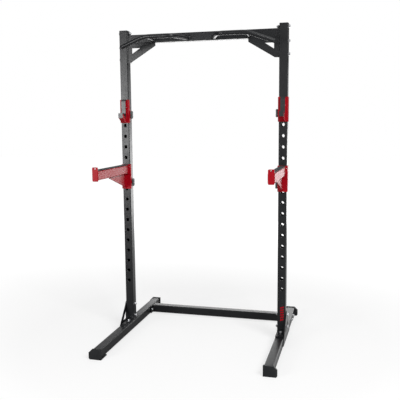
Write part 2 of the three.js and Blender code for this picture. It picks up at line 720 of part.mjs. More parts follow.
const spotterPegZ = topHole - SPOTTER_STEPS_DOWN * HOLE_PITCH;
const spotterTop = spotterPegZ + SPOTTER_TOP_RISE;
const spotterBottom = spotterTop - SPOTTER_HEIGHT;
const spotterEarZ = spotterPegZ - SPOTTER_EAR_BELOW_PEG;
const armTop = spotterTop - ARM_TOP_BELOW_BRACKET;
const armBottom = armTop - ARM_HEIGHT;
const armBack = webFront - GAP;
const armFront = armBack - ARM_LENGTH;
const padTop = armTop + GAP + PAD;

function spotterArm() {
  const place = new THREE.Matrix4().makeBasis(AXIS_X, AXIS_Z.clone().negate(), AXIS_Y);
  const arm = hollowSection(ARM_WIDTH, ARM_HEIGHT, WALL, TUBE_CORNER, ARM_LENGTH).applyMatrix4(place);
  return arm.translate(uprightX, armFront, (armTop + armBottom) / 2);
}

function spotterPad() {
  return box(
    [uprightX - ARM_WIDTH / 2, uprightX + ARM_WIDTH / 2], [armFront, armBack], [armTop + GAP, padTop]);
}

function spotterEndPlate() {
  const low = armBottom - END_PLATE_DROP;
  const high = padTop + END_PLATE_RISE;
  const shape = roundedRect(ARM_WIDTH, high - low, END_PLATE_CORNER);
  const hole = new THREE.Path();
  hole.absarc(0, (high - low) / 2 - END_PLATE_RISE / 2, END_PLATE_HOLE / 2, 0, 2 * Math.PI, true);
  shape.holes.push(hole);
  const plate = plateY(shape, [armFront - GAP - END_PLATE, armFront - GAP]);
  return plate.translate(uprightX, 0, (low + high) / 2);
}

function spotterGusset() {
  const shape = outline([
    [armBack, spotterBottom + ARM_GUSSET_RISE],
    [armBack, armBottom - GAP],
    [armBack - ARM_GUSSET_LENGTH, armBottom - GAP],
    [armBack - ARM_GUSSET_LENGTH, armBottom - GAP - ARM_GUSSET_NOSE],
    [armBack - ARM_GUSSET_NOSE, spotterBottom + ARM_GUSSET_RISE],
  ]);
  return plateX(shape, [uprightX - GUSSET_PLATE / 2, uprightX + GUSSET_PLATE / 2]);
}

function spotters() {
  addPair('spotter_bracket', bracket(spotterPegZ, spotterTop, SPOTTER_HEIGHT, spotterEarZ), 'red');
  addPair('spotter_arm', spotterArm(), 'red');
  addPair('spotter_pad', spotterPad(), 'rubber');
  addPair('spotter_end_plate', spotterEndPlate(), 'red');
  addPair('spotter_gusset', spotterGusset(), 'red');
  addPair('spotter_clamp_screw', clampScrew(spotterEarZ), 'greyPlastic');
}

// ---- The stand ----------------------------------------------------------------------------------

addPair('side_rail', sideRail(), 'frame');
addPair('front_boot', railBoot(-1), 'plastic');
addPair('rear_boot', railBoot(1), 'plastic');
addPair('upright', upright(), 'frame');
addPair('upright_cap', uprightCap(), 'plastic');
addPair('base_gusset', baseGusset(), 'frame');
add('rear_crossbar', rearCrossbar(), 'frame');
add('top_crossbar', topCrossbar(), 'frame');
addPair('top_gusset', topGusset(), 'frame');
addPair('grip', grip(), 'frame');
addPair('grip_strut', gripStrut(), 'frame');
addPair('grip_cap', gripCap(), 'plastic');
barHooks();
spotters();
topBolts();
baseBolts();
footBolts();
rearBolts();

export default stand;
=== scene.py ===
import math

import bmesh
import bpy
from bpy.props import FloatProperty, FloatVectorProperty, PointerProperty
from mathutils import Matrix, Vector
from mathutils.geometry import tessellate_polygon


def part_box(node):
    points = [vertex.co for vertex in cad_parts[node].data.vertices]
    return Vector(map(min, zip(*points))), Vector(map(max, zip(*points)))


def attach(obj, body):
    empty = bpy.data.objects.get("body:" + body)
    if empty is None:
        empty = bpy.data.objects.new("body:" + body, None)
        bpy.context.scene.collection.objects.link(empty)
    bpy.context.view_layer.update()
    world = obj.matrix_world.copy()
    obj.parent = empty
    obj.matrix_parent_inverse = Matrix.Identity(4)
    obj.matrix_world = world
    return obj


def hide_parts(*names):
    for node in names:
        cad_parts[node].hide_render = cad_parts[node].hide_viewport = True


bl_info = {
    "name": "Squat stand",
    "version": (1, 0, 0),
    "blender": (4, 5, 0),
    "location": "3D View > Sidebar > Squat stand",
    "description": "Builds the finished surfaces of a drilled squat stand around its engineering model",
    "category": "Add Mesh",
}

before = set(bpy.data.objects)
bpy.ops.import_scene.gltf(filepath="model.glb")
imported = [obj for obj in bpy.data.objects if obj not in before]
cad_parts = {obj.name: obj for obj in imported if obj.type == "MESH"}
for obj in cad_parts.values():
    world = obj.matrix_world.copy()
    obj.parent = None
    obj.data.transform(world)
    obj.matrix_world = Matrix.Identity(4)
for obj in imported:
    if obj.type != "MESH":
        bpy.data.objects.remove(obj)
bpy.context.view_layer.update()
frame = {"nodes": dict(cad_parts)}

SIDES = ("right", "left")
FINISHES = {}
FRAME_COAT = "charcoal_powder_coat"
GAP = 0.0003
SMOOTH_BELOW = math.radians(40)
EDGE_ABOVE = math.radians(32)
FLAT_WITHIN = math.radians(0.5)

# Places of the right-hand side, which the left-hand side mirrors.
CAP_LOW, CAP_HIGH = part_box("right_upright_cap")
POST_LOW, POST_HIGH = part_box("right_upright")
RAIL_LOW, RAIL_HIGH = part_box("right_side_rail")
HOOK_LOW, HOOK_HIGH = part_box("right_hook_bracket")
ARM_LOW, ARM_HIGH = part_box("right_spotter_arm")
TOP_LOW, TOP_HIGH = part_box("top_crossbar")
REAR_LOW, REAR_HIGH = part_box("rear_crossbar")
GRIP_LOW, GRIP_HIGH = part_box("right_grip")
TUBE = CAP_HIGH.x - CAP_LOW.x
POST_X = (CAP_LOW.x + CAP_HIGH.x) / 2
POST_Y = (CAP_LOW.y + CAP_HIGH.y) / 2
POST_FRONT = CAP_LOW.y


# ---- Settings -----------------------------------------------------------------------------------


class StandSizes(bpy.types.PropertyGroup):
    """Sizes of the details that are added to the engineering model."""

    tube_wall: FloatProperty(
        name="Tube wall", description="Wall of the square tubes", default=0.003, unit="LENGTH")
    tube_corner: FloatProperty(
        name="Tube corner", description="Outer corner radius of the square tubes",
        default=0.005, unit="LENGTH")
    hole_pitch: FloatProperty(
        name="Hole pitch", description="Distance from one peg hole to the next",
        default=0.078, unit="LENGTH")
    hole_diameter: FloatProperty(
        name="Hole diameter", description="Diameter of the peg holes", default=0.024, unit="LENGTH")
    plate_edge: FloatProperty(
        name="Plate edge", description="Rounding of the edges of cut steel plate",
        default=0.0009, unit="LENGTH")
    moulded_edge: FloatProperty(
        name="Moulded edge", description="Rounding of the edges of moulded plastic",
        default=0.0024, unit="LENGTH")
    fold_radius: FloatProperty(
        name="Fold radius", description="Outer radius of the folds of the hanging brackets",
        default=0.0045, unit="LENGTH")
    weld_size: FloatProperty(
        name="Weld size", description="Radius of a weld bead", default=0.0024, unit="LENGTH")


class StandColours(bpy.types.PropertyGroup):
    """Base colours of the finishes."""

    frame: FloatVectorProperty(
        name="Frame", description="Powder coat of the frame", subtype="COLOR",
        default=(0.0085, 0.0092, 0.0108), min=0, max=1)
    red: FloatVectorProperty(
        name="Red", description="Powder coat of the hooks and arms", subtype="COLOR",
        default=(0.42, 0.0012, 0.010), min=0, max=1)
    plastic: FloatVectorProperty(
        name="Plastic", description="Boots, caps and knobs", subtype="COLOR",
        default=(0.009, 0.0102, 0.012), min=0, max=1)
    liner: FloatVectorProperty(
        name="Liner", description="Wear strip of the hooks", subtype="COLOR",
        default=(0.028, 0.027, 0.029), min=0, max=1)
    knob: FloatVectorProperty(
        name="Knob", description="Handles of the clamp screws", subtype="COLOR",
        default=(0.09, 0.105, 0.106), min=0, max=1)
    rubber: FloatVectorProperty(
        name="Rubber", description="Pad on the arms", subtype="COLOR",
        default=(0.045, 0.047, 0.05), min=0, max=1)
    zinc: FloatVectorProperty(
        name="Zinc", description="Plating of bolts, washers and nuts", subtype="COLOR",
        default=(0.74, 0.75, 0.77), min=0, max=1)


class StageSettings(bpy.types.PropertyGroup):
    """Lights and camera of the plain studio."""

    backdrop_power: FloatProperty(
        name="Backdrop", description="Light from behind the stand", default=112, unit="POWER")
    upper_power: FloatProperty(
        name="Upper backdrop", description="Dimmer light above the backdrop", default=20, unit="POWER")
    top_power: FloatProperty(
        name="Top light", description="Light from above", default=60, unit="POWER")
    side_power: FloatProperty(
        name="Side box", description="Soft box ahead of the left upright", default=85, unit="POWER")
    front_power: FloatProperty(
        name="Front light", description="Light from high up at the front right", default=225,
        unit="POWER")
    fill_power: FloatProperty(
        name="Fill box", description="Dim box behind the camera", default=6, unit="POWER")
    lens: FloatProperty(
        name="Lens", description="Focal length of the camera", default=54.45, unit="CAMERA")


# ---- Shapes -------------------------------------------------------------------------------------


def placed(x_axis, y_axis, origin):
    """A placing matrix from two local axes and an origin."""
    x, y = Vector(x_axis), Vector(y_axis)
    z = x.cross(y)
    matrix = Matrix((x, y, z)).transposed().to_4x4()
    matrix.translation = Vector(origin)
    return matrix


def along_x(origin):
    """Local Z runs along the stand's X, and local -Y stays the front."""
    return placed((0, 0, -1), (0, 1, 0), origin)


def along_y(origin):
    """Local Z runs along the stand's Y, and local -Y becomes the top."""
    return placed((1, 0, 0), (0, 0, -1), origin)


def facing_x(origin):
    """Local X and Y lie along the stand's Y and Z, and local Z along its X."""
    return placed((0, 1, 0), (0, 0, 1), origin)


def facing_front(origin):
    """Local X and Y lie along the stand's X and Z, and local Z towards the front."""
    return placed((1, 0, 0), (0, 0, 1), origin)


def merge(shape, part):
    """Adds one shape to another."""
    mesh = bpy.data.meshes.new("part")
    part.to_mesh(mesh)
    part.free()
    shape.from_mesh(mesh)
    bpy.data.meshes.remove(mesh)


def joined(*parts):
    shape = bmesh.new()
    for part in parts:
        merge(shape, part)
    return shape


def round_edges(shape, size, steps=2, chosen=None):
    """Rounds every edge that is sharper than a bend, or only the chosen ones."""
    edges = [e for e in shape.edges if len(e.link_faces) == 2 and e.calc_face_angle(0) > EDGE_ABOVE]
    if chosen:
        edges = [edge for edge in edges if chosen(edge)]
    bmesh.ops.bevel(
        shape, geom=edges, offset=size, offset_type="OFFSET", segments=steps, profile=0.5,
        affect="EDGES", clamp_overlap=True)
    return shape


def join_flats(shape):
    """Makes each flat face whole where it was cut into triangles."""
    bmesh.ops.dissolve_limit(
        shape, angle_limit=FLAT_WITHIN, verts=shape.verts[:], edges=shape.edges[:])


def rounded_outline(width, height, corner, steps=6):
    """A rounded rectangle, anticlockwise, as a list of points."""
    points = []
    for turn, (side, level) in enumerate(((1, -1), (1, 1), (-1, 1), (-1, -1))):
        centre = (side * (width / 2 - corner), level * (height / 2 - corner))
        for step in range(steps + 1):
            angle = math.radians(90 * (turn - 1 + step / steps))
            points.append((centre[0] + corner * math.cos(angle), centre[1] + corner * math.sin(angle)))
    return points


def circle(diameter, centre=(0, 0), count=32):
    radius = diameter / 2
    turns = [2 * math.pi * k / count for k in range(count)]
    return [(centre[0] + radius * math.cos(a), centre[1] + radius * math.sin(a)) for a in turns]


def plate(outline, thickness, place, edge, holes=()):
    """A flat plate with its edges rounded, cut to an outline, with holes through it."""
    loops = [list(outline), *[list(hole) for hole in holes]]
    shape = bmesh.new()
    flat = [Vector((a, b, 0)) for loop in loops for a, b in loop]
    lower = [shape.verts.new(p) for p in flat]
    upper = [shape.verts.new(p + Vector((0, 0, thickness))) for p in flat]
    for a, b, c in tessellate_polygon([[Vector((x, y, 0)) for x, y in loop] for loop in loops]):
        shape.faces.new((upper[a], upper[b], upper[c]))
        shape.faces.new((lower[c], lower[b], lower[a]))
    start = 0
    for loop in loops:
        for k in range(len(loop)):
            a, b = start + k, start + (k + 1) % len(loop)
            shape.faces.new((lower[a], lower[b], upper[b], upper[a]))
        start += len(loop)
    bmesh.ops.recalc_face_normals(shape, faces=shape.faces)
    join_flats(shape)
    round_edges(shape, edge)
    shape.transform(place)
    return shape


def block(low, high, edge, steps=2):
    """A block between two corners with its edges rounded."""
    low, high = Vector(low), Vector(high)
    shape = bmesh.new()
    bmesh.ops.create_cube(shape, size=1)
    for vert in shape.verts:
        vert.co = Vector([(low[i] + high[i]) / 2 + vert.co[i] * (high[i] - low[i]) for i in range(3)])
    return round_edges(shape, edge, steps)


def turned(profile, place, count=32):
    """A turned shape about local Z from (radius, height) points. Six sides make it hexagonal."""
    shape = bmesh.new()
    rings = []
    for radius, height in profile:
        if radius == 0:
            rings.append([shape.verts.new((0, 0, height))])
        else:
            rings.append([shape.verts.new((x, y, height)) for x, y in circle(2 * radius, count=count)])
    for lower, upper in zip(rings, rings[1:]):
        for k in range(count):
            after = (k + 1) % count
            if len(lower) == 1:
                shape.faces.new((lower[0], upper[after], upper[k]))
            elif len(upper) == 1:
                shape.faces.new((lower[k], lower[after], upper[0]))
            else:
                shape.faces.new((lower[k], lower[after], upper[after], upper[k]))
    bmesh.ops.recalc_face_normals(shape, faces=shape.faces)
    shape.transform(place)
    return shape


def pointing(direction, origin):
    """Places local Z along a direction."""
    matrix = Vector(direction).to_track_quat("Z", "Y").to_matrix().to_4x4()
    matrix.translation = Vector(origin)
    return matrix


def swept(points, radii, count=16, closed=False):
    """A round bar along a line of points. radii gives its radius at each point."""
    shape = bmesh.new()
    total = len(points)
    rings = []
    side = None
    for i, point in enumerate(points):
        before = points[i - 1] if i or closed else points[0]
        after = points[(i + 1) % total] if i + 1 < total or closed else points[-1]
        forward = (after - before).normalized()
        if side is None:
            side = forward.orthogonal().normalized()
        side = (side - forward * side.dot(forward)).normalized()
        up = forward.cross(side)
        rings.append([shape.verts.new(point + side * x + up * y)
                      for x, y in circle(2 * radii[i], count=count)])
    spans = list(zip(rings, rings[1:]))
    if closed:
        shift = closest_turn(rings[-1], rings[0])
        spans.append((rings[-1], rings[0][shift:] + rings[0][:shift]))
    for lower, upper in spans:
        for k in range(count):
            after = (k + 1) % count
            shape.faces.new((lower[k], lower[after], upper[after], upper[k]))
    if not closed:
        shape.faces.new(rings[0][::-1])
        shape.faces.new(rings[-1])
    bmesh.ops.recalc_face_normals(shape, faces=shape.faces)
    return shape


def closest_turn(ring, other):
    """How far a ring's first point is turned from the next ring's."""
    return min(range(len(other)), key=lambda k: (other[k].co - ring[0].co).length)


def spaced(points, step, closed=False):
    """A line of points, walked again in even steps."""
    ring = [Vector(p) for p in points]
    if closed:
        ring.append(ring[0])
    lengths = [(b - a).length for a, b in zip(ring, ring[1:])]
    total = sum(lengths)
    count = max(2, round(total / step))
    walked = []
    for k in range(count if closed else count + 1):
        target = total * k / count
        leg = 0
        while leg < len(lengths) - 1 and target > lengths[leg]:
            target -= lengths[leg]
            leg += 1
        walked.append(ring[leg].lerp(ring[leg + 1], min(1, target / max(lengths[leg], 1e-9))))
    return walked


WELD_STEP = 0.0016
WELD_RIPPLE = 0.0048
WELD_SWELL = 0.13


def weld(points, size, closed=False):
    """A weld bead: a small round bar with the ripples of its passes."""
    line = spaced(points, WELD_STEP, closed)
    phase = 2 * math.pi * WELD_STEP / WELD_RIPPLE
    radii = [size * (1 + WELD_SWELL * math.sin(phase * k)) for k in range(len(line))]
    return swept(line, radii, count=8, closed=closed)


FLATS = ("right", "back", "left", "front")
HOLE_SIDES = 32
HOLE_LEAD = 0.0008
HOLE_MARGIN = 0.004


def box_tube(width, height, corner, wall, length, place, holes=()):
    """A rectangular tube along local Z from 0. holes lists (height along it, diameter, sides)."""
    steps = 6
    shape = bmesh.new()
    outer = rounded_outline(width, height, corner, steps)
    inner = rounded_outline(width - 2 * wall, height - 2 * wall, max(corner - wall, wall / 3), steps)
    around = len(outer)
    cells = []
    levels = [0.0]
    for at, diameter, sides in sorted(holes):
        reach = diameter / 2 + HOLE_MARGIN
        cells.append((len(levels), at, diameter, sides))
        levels += [at - reach, at + reach]
    levels.append(length)
    skins = [[[shape.verts.new((x, y, z)) for x, y in profile] for z in levels]
             for profile in (outer, inner)]
    pierced = {}
    for band, at, diameter, sides in cells:
        for side in sides:
            pierced[(band, FLATS.index(side) * (steps + 1) + steps)] = (at, diameter)
    for band in range(len(levels) - 1):
        for i in range(around):
            j = (i + 1) % around
            quads = [[skin[band][i], skin[band][j], skin[band + 1][j], skin[band + 1][i]]
                     for skin in skins]
            if (band, i) not in pierced:
                shape.faces.new(quads[0])
                shape.faces.new(quads[1][::-1])
                continue
            pierce(shape, quads, *pierced[(band, i)])
    for level, flip in ((0, 1), (len(levels) - 1, -1)):
        for i in range(around):
            j = (i + 1) % around
            ends = [skins[0][level][j], skins[0][level][i], skins[1][level][i], skins[1][level][j]]
            shape.faces.new(ends[::flip])
    shape.transform(place)
    return shape


def pierce(shape, quads, at, diameter):
    """Cuts a round hole with a small lead-in through one flat of a tube."""
    middle = [sum((v.co for v in quad), Vector()) / 4 for quad in quads]
    across = (quads[0][1].co - quads[0][0].co).normalized()
    inward = (middle[1] - middle[0]).normalized()
    stations = (
        (middle[0], diameter + 2 * HOLE_LEAD),
        (middle[0] + inward * HOLE_LEAD, diameter),
        (middle[1], diameter))
    rings = []
    for centre, width in stations:
        base = Vector((centre.x, centre.y, at))
        rings.append([shape.verts.new(base + across * x + Vector((0, 0, y)))
                      for x, y in circle(width, count=HOLE_SIDES)])
    quarter = HOLE_SIDES // 4
    first = -quarter // 2 - quarter
    for corner in range(4):
        begin = first + corner * quarter
        arc = [(begin + k) % HOLE_SIDES for k in range(quarter, -1, -1)]
        a, b = corner, (corner + 1) % 4
        shape.faces.new([quads[0][a], quads[0][b]] + [rings[0][k] for k in arc])
        shape.faces.new(([quads[1][a], quads[1][b]] + [rings[2][k] for k in arc])[::-1])
    for lower, upper in zip(rings, rings[1:]):
        for k in range(HOLE_SIDES):
            after = (k + 1) % HOLE_SIDES
            shape.faces.new((lower[k], lower[after], upper[after], upper[k]))


def refined(node, edge, fold=None):
    """A copy of an engineering piece with flat faces made whole and its edges rounded."""
    shape = bmesh.new()
    shape.from_mesh(frame["nodes"][node].data)
    bmesh.ops.remove_doubles(shape, verts=shape.verts[:], dist=1e-6)
    join_flats(shape)
    if fold:
        size, is_fold = fold
        round_edges(shape, size, 4, is_fold)
    return round_edges(shape, edge)


def mirrored(shape):
    shape.transform(Matrix.Scale(-1, 4, (1, 0, 0)))
    bmesh.ops.reverse_faces(shape, faces=shape.faces[:])
    return shape


# ---- Finishes -----------------------------------------------------------------------------------


NOISE_MIDDLE = (0.3, 0.7)
GRAIN_STRENGTH = 0.6
# The colour sockets of a Mix node share their names, so they are told apart by number.
MIX_FACTOR, MIX_A, MIX_B, MIX_RESULT = 0, 6, 7, 2


def noise(nodes, links, coordinates, scale, detail):
    texture = nodes.new("ShaderNodeTexNoise")
    texture.inputs["Scale"].default_value = scale
    texture.inputs["Detail"].default_value = detail
    links.new(coordinates.outputs["Object"], texture.inputs["Vector"])
    return texture.outputs["Fac"]


def ranged(nodes, links, value, before, after):
    """Maps one range of a value to another."""
    change = nodes.new("ShaderNodeMapRange")
    for name, number in zip(("From Min", "From Max", "To Min", "To Max"), (*before, *after)):
        change.inputs[name].default_value = number
    links.new(value, change.inputs["Value"])
    return change.outputs["Result"]


def maths(nodes, links, operation, *values):
    """Does a sum with the outputs of other nodes."""
    node = nodes.new("ShaderNodeMath")
    node.operation = operation
    for value, socket in zip(values, node.inputs):
        links.new(value, socket)
    return node.outputs[0]


def finish(name, colour, roughness, grain, depth, variation=0.12, metallic=0.0, sheen_of=0.07,
           patches=9.0, specular=0.5):
    """A finish with a fine grain and patches that are a little lighter or duller.

    grain and patches are the scales of the two noises, depth is the height of the grain, and
    variation and sheen_of say how far the colour and the roughness wander.
    """
    material = bpy.data.materials.new(f"{name}_finish")
    FINISHES[name] = material
    material.use_nodes = True
    nodes, links = material.node_tree.nodes, material.node_tree.links
    shader = nodes["Principled BSDF"]
    shader.inputs["Metallic"].default_value = metallic
    shader.inputs["Specular IOR Level"].default_value = specular
    coordinates = nodes.new("ShaderNodeTexCoord")
    mix = nodes.new("ShaderNodeMix")
    mix.data_type = "RGBA"
    darker, lighter = mix.inputs[MIX_A], mix.inputs[MIX_B]
    darker.default_value = (*[c * (1 - variation) for c in colour], 1)
    lighter.default_value = (*[min(1, c * (1 + variation)) for c in colour], 1)
    shade = noise(nodes, links, coordinates, patches, 6)
    links.new(ranged(nodes, links, shade, NOISE_MIDDLE, (0, 1)), mix.inputs[MIX_FACTOR])
    links.new(mix.outputs[MIX_RESULT], shader.inputs["Base Color"])
    wear = noise(nodes, links, coordinates, patches * 4, 4)
    dull = ranged(nodes, links, wear, NOISE_MIDDLE, (roughness - sheen_of, roughness + sheen_of))
    links.new(dull, shader.inputs["Roughness"])
    bump = nodes.new("ShaderNodeBump")
    bump.inputs["Strength"].default_value = GRAIN_STRENGTH
    bump.inputs["Distance"].default_value = depth
    links.new(noise(nodes, links, coordinates, grain, 2), bump.inputs["Height"])
    links.new(bump.outputs["Normal"], shader.inputs["Normal"])
    return material


def make_finishes(colours):
    finish(FRAME_COAT, colours.frame, 0.32, 520, 0.00002, sheen_of=0.04)
    finish(
        "red_powder_coat", colours.red, 0.42, 420, 0.00001, variation=0.05, sheen_of=0.03, specular=0.2)
    finish("black_plastic", colours.plastic, 0.52, 1300, 0.00012, variation=0.1)
    finish("grey_plastic", colours.knob, 0.5, 1300, 0.0001, variation=0.1)
    finish("grey_liner", colours.liner, 0.28, 240, 0.00002, variation=0.1, sheen_of=0.04)
    finish("pad_rubber", colours.rubber, 0.66, 900, 0.00025, variation=0.15)
    finish(
        "zinc", colours.zinc, 0.3, 700, 0.00003, variation=0.1, metallic=1.0, sheen_of=0.1, patches=60)


class SQUATSTAND_OT_finishes(bpy.types.Operator):
    """Make the paints, plastics, rubber and plating"""

    bl_idname = "squat_stand.finishes"
    bl_label = "Finishes"

    def execute(self, context):
        make_finishes(context.scene.stand_colours)
        return {"FINISHED"}


# ---- Pieces -------------------------------------------------------------------------------------


def add_piece(name, shape, slot, body, stands_for=()):
    """Makes a shape into a piece that rides on a body and stands for engineering pieces."""
    mesh = bpy.data.meshes.new(name)
    shape.to_mesh(mesh)
    shape.free()
    mesh.materials.append(FINISHES[slot])
    mesh.polygons.foreach_set("use_smooth", [True] * len(mesh.polygons))
    mesh.set_sharp_from_angle(angle=SMOOTH_BELOW)
    piece = bpy.data.objects.new(name, mesh)
    bpy.context.scene.collection.objects.link(piece)
    weighted = piece.modifiers.new("Weighted normals", "WEIGHTED_NORMAL")
    weighted.keep_sharp = True
    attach(piece, body)
    if stands_for:
        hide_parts(*stands_for)
    return piece


def add_pair(name, make, slot, body="frame", stands_for=()):
    """Makes a piece for the right side and its mirror image for the left."""
    for side in SIDES:
        shape = make()
        if side == "left":
            mirrored(shape)
        rides_on = body if body == "frame" else f"{side}_{body}"
        add_piece(f"{side}_{name}", shape, slot, rides_on, [f"{side}_{node}" for node in stands_for])


def outline_loop(width, height, corner, place):
    """A rounded rectangle as points in the stand's frame, for a weld to follow."""
    return [place @ Vector((x, y, 0)) for x, y in rounded_outline(width, height, corner, 3)]


# ---- Rails, boots and uprights ------------------------------------------------------------------

FOOT_PLATE = 0.008
CAP_LID = 0.004
CAP_EDGE = 0.0014
CAP_PLUG_CORNER = 0.002
HOOK_TOP_RISE = 0.032
LOWEST_HOLE = 0.380


def rail_tube(sizes):
    centre = (POST_X, RAIL_LOW.y, (RAIL_LOW.z + RAIL_HIGH.z) / 2)
    return box_tube(
        TUBE, TUBE, sizes.tube_corner, sizes.tube_wall, RAIL_HIGH.y - RAIL_LOW.y, along_y(centre))


def post_holes(sizes, base):
    """The peg holes, counted down from the one that the hook's upper peg sits in."""
    holes = []
    z = HOOK_HIGH.z - HOOK_TOP_RISE
    while z > LOWEST_HOLE:
        holes.append((z - base, sizes.hole_diameter, ("front", "back")))
        z -= sizes.hole_pitch
    return holes


def drilled_post(sizes):
    """The upright with its foot plate and the weld between them."""
    base = POST_LOW.z + FOOT_PLATE
    top = CAP_HIGH.z - CAP_LID - GAP
    tube = box_tube(
        TUBE, TUBE, sizes.tube_corner, sizes.tube_wall, top - base,
        Matrix.Translation((POST_X, POST_Y, base)), post_holes(sizes, base))
    foot = block(
        (CAP_LOW.x, POST_LOW.y, POST_LOW.z), (CAP_HIGH.x, POST_HIGH.y, base), sizes.plate_edge)
    bead = weld(
        outline_loop(TUBE, TUBE, sizes.tube_corner, Matrix.Translation((POST_X, POST_Y, base))),
        sizes.weld_size, closed=True)
    return joined(tube, foot, bead)


def post_cap(sizes):
    """A lid with rounded edges on a plug that fills the tube."""
    lid = plate(
        rounded_outline(TUBE, TUBE, sizes.tube_corner), CAP_LID,
        Matrix.Translation((POST_X, POST_Y, CAP_HIGH.z - CAP_LID)), CAP_EDGE)
    side = TUBE - 2 * sizes.tube_wall - 2 * GAP
    plug = plate(
        rounded_outline(side, side, CAP_PLUG_CORNER), CAP_HIGH.z - CAP_LID - CAP_LOW.z,
        Matrix.Translation((POST_X, POST_Y, CAP_LOW.z)), sizes.plate_edge)
    return joined(lid, plug)


class SQUATSTAND_OT_rails(bpy.types.Operator):
    """Finish the floor rails and the moulded boots on their ends"""

    bl_idname = "squat_stand.rails"
    bl_label = "Rails and boots"

    def execute(self, context):
        sizes = context.scene.stand_sizes
        add_pair("rail_tube", lambda: rail_tube(sizes), FRAME_COAT, "frame", ["side_rail"])
        for end in ("front", "rear"):
            add_pair(
                f"{end}_rail_boot", lambda: refined(f"right_{end}_boot", sizes.moulded_edge),
                "black_plastic", "frame", [f"{end}_boot"])
        return {"FINISHED"}


class SQUATSTAND_OT_uprights(bpy.types.Operator):
    """Finish the drilled uprights, their foot plates and their caps"""

    bl_idname = "squat_stand.uprights"
    bl_label = "Uprights"

    def execute(self, context):
        sizes = context.scene.stand_sizes
        add_pair("drilled_post", lambda: drilled_post(sizes), FRAME_COAT, "frame", ["upright"])
        add_pair("post_cap", lambda: post_cap(sizes), "black_plastic", "frame", ["upright_cap"])
        return {"FINISHED"}


# ---- Gussets and crossbars ----------------------------------------------------------------------

FLANGE = 0.008
SMALL_HOLE = 0.009
SMALL_HOLE_SPACING = 0.1


def flange_pair(low, high, edge):
    """The two end flanges of a crossbar that fills a box."""
    parts = []
    for side in (-1, 1):
        ends = sorted((side * high.x, side * (high.x - FLANGE)))
        parts.append(block((ends[0], low.y, low.z), (ends[1], high.y, high.z), edge))
    return parts


def crossbar(low, high, centre_y, centre_z, sizes, holes=()):
    """A square tube between two end flanges, welded all round at each."""
    half = high.x - FLANGE
    start = along_x((-half, centre_y, centre_z))
    tube = box_tube(TUBE, TUBE, sizes.tube_corner, sizes.tube_wall, 2 * half, start, holes)
    beads = [
        weld(outline_loop(TUBE, TUBE, sizes.tube_corner, facing_x((side * half, centre_y, centre_z))),
             sizes.weld_size, closed=True)
        for side in (-1, 1)]
    return joined(tube, *flange_pair(low, high, sizes.plate_edge), *beads)


def rear_bar(sizes):
    half = REAR_HIGH.x - FLANGE
    holes = [(half + side * SMALL_HOLE_SPACING / 2, SMALL_HOLE, ("front",)) for side in (-1, 1)]
    centre_y = (REAR_LOW.y + REAR_HIGH.y) / 2
    return crossbar(REAR_LOW, REAR_HIGH, centre_y, (REAR_LOW.z + REAR_HIGH.z) / 2, sizes, holes)


def top_bar_height():
    """The middle of the top bar, which sits on the corner gussets."""
    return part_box("right_top_gusset")[1].z + GAP + TUBE / 2


def corner_gusset(sizes):
    low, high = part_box("right_top_gusset")
    web = refined("right_top_gusset", sizes.plate_edge)
    back = high.y - sizes.plate_edge
    upper = weld([(low.x, back, high.z), (high.x, back, high.z)], sizes.weld_size)
    side = weld([(high.x, back, low.z), (high.x, back, high.z)], sizes.weld_size)
    return joined(web, upper, side)


class SQUATSTAND_OT_gussets(bpy.types.Operator):
    """Finish the plates that brace the corners"""

    bl_idname = "squat_stand.gussets"
    bl_label = "Gussets"

    def execute(self, context):
        sizes = context.scene.stand_sizes
        add_pair(
            "foot_gusset", lambda: refined("right_base_gusset", sizes.plate_edge),
            FRAME_COAT, "frame", ["base_gusset"])
        add_pair(
            "corner_gusset", lambda: corner_gusset(sizes),
            FRAME_COAT, "frame", ["top_gusset"])
        return {"FINISHED"}


class SQUATSTAND_OT_crossbars(bpy.types.Operator):
    """Finish the floor bar behind the lifter and the top bar"""

    bl_idname = "squat_stand.crossbars"
    bl_label = "Crossbars"

    def execute(self, context):
        sizes = context.scene.stand_sizes
        add_piece("rear_bar", rear_bar(sizes), FRAME_COAT, "frame", ["rear_crossbar"])
        top = crossbar(TOP_LOW, TOP_HIGH, POST_Y, top_bar_height(), sizes)
        add_piece("top_bar", top, FRAME_COAT, "frame", ["top_crossbar"])
        return {"FINISHED"}


# ---- Pull-up grips ------------------------------------------------------------------------------

GRIP_DIAMETER = 0.030
GRIP_ROOT = 0.092
GRIP_ELBOW = 0.158
GRIP_SHOULDER = 0.189
GRIP_TIP_INSET = 0.018
GRIP_TIP_RETURN = 0.029
GRIP_TIP_DROP = 0.060
GRIP_BEND = 0.042
STRUT_DIAMETER = 0.022
STRUT_SPLAY = 0.012
STRUT_STEP = 0.02
GRIP_PLUG_RADIUS = 0.0116
GRIP_PLUG_DEPTH = 0.01
GRIP_CAP_BROW = 0.003
GRIP_CAP_HEIGHT = 0.008


def grip_corners():
    """The corners of the grip's axis, from the top bar to its free end."""
    front = GRIP_LOW.y + GRIP_DIAMETER / 2
    height = GRIP_HIGH.z - GRIP_DIAMETER / 2
    inner = CAP_LOW.x
    return [
        Vector((GRIP_ROOT, POST_FRONT + GRIP_DIAMETER / 2, height)),
        Vector((GRIP_ELBOW, front, height)),
        Vector((inner - GRIP_SHOULDER, front, height)),
        Vector((inner - GRIP_TIP_INSET, front + GRIP_TIP_RETURN, height - GRIP_TIP_DROP)),
    ]


def bent_line(corners, bend, steps=10):
    """Straight stretches through the corners with a round bend at each inner one."""
    line = [corners[0]]
    for before, corner, after in zip(corners, corners[1:], corners[2:]):
        start = corner + (before - corner).normalized() * bend
        end = corner + (after - corner).normalized() * bend
        for k in range(steps + 1):
            t = k / steps
            line.append(start * (1 - t) ** 2 + corner * 2 * t * (1 - t) + end * t ** 2)
    line.append(corners[-1])
    return line


